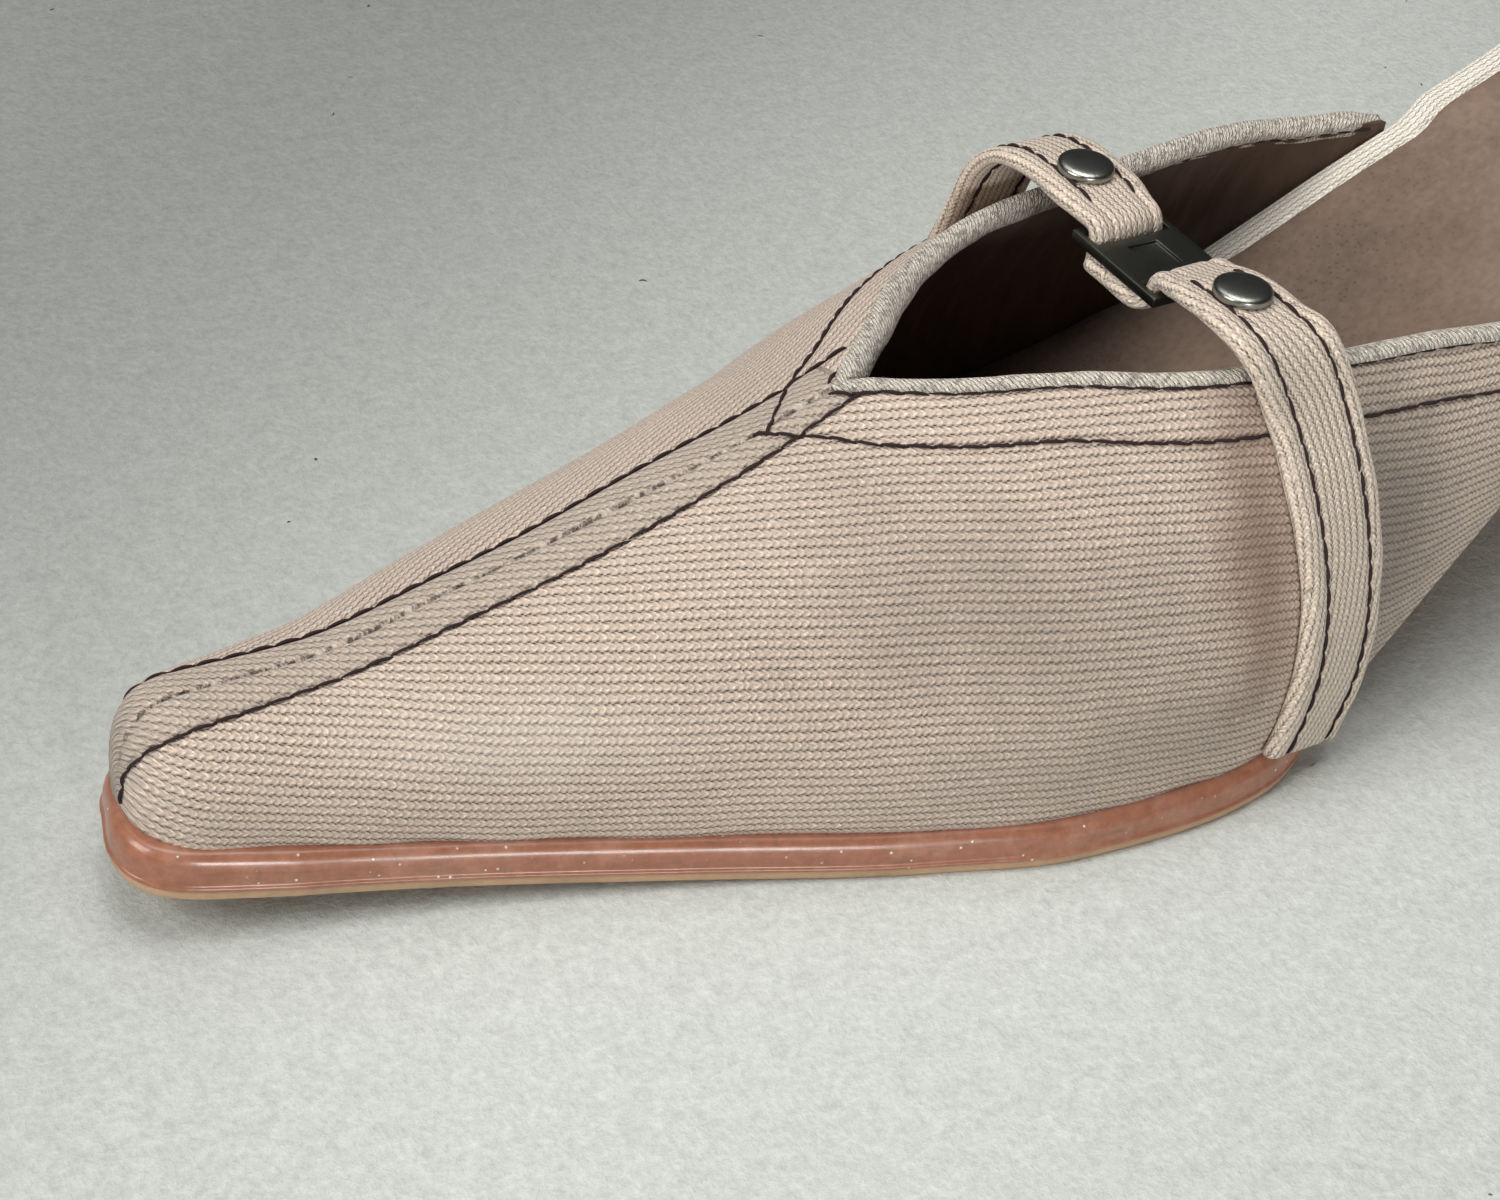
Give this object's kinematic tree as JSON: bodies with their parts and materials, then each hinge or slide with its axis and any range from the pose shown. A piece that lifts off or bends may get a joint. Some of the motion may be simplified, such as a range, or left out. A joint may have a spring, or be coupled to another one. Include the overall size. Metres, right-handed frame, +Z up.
{
  "type": "high-heeled mule",
  "caption": "Pointed backless mule in ribbed twill with a raised instep strap held by a slotted metal plate and domed rivets, leather sole and slim high heel.",
  "frame": {"origin": "on the floor under the middle of the sole's flat tread, midway across the ball", "axes": "+X from the toe to the heel, +Y to the inner side of the foot, +Z up from the floor"},
  "size_m": [0.2582, 0.0792, 0.0823],
  "materials": {
    "upper_twill": "fine ribbed twill, khaki beige, the ribs running along the shoe",
    "strap_twill": "the same ribbed twill as a stitched strap, ribs running along the strap",
    "rim_twill": "pale cream twill wrapped round the footbed's edge",
    "sock_leather": "matt taupe-brown lining leather with fine pores",
    "sole_leather": "glossy terracotta-brown edge paint over leather, softly worn",
    "tread_leather": "plain tan leather sole, worn matt at the tread",
    "heel_leather": "terracotta-brown leather wrapping, softly glossy",
    "tip_rubber": "dark rubber wearing tip",
    "gunmetal": "satin dark gunmetal with brighter rounded edges",
    "rivet_metal": "glossy dark gunmetal domed caps"
  },
  "bodies": {
    "root": {"upper": "upper_twill", "outsole": "tread_leather", "sole": "sole_leather", "insole": "rim_twill", "sock": "sock_leather", "heel": "heel_leather", "top_piece": "tip_rubber", "strap": "strap_twill", "slider_plate": "gunmetal", "rivet_near": "rivet_metal", "rivet_far": "rivet_metal"}
  },
  "joints": []
}
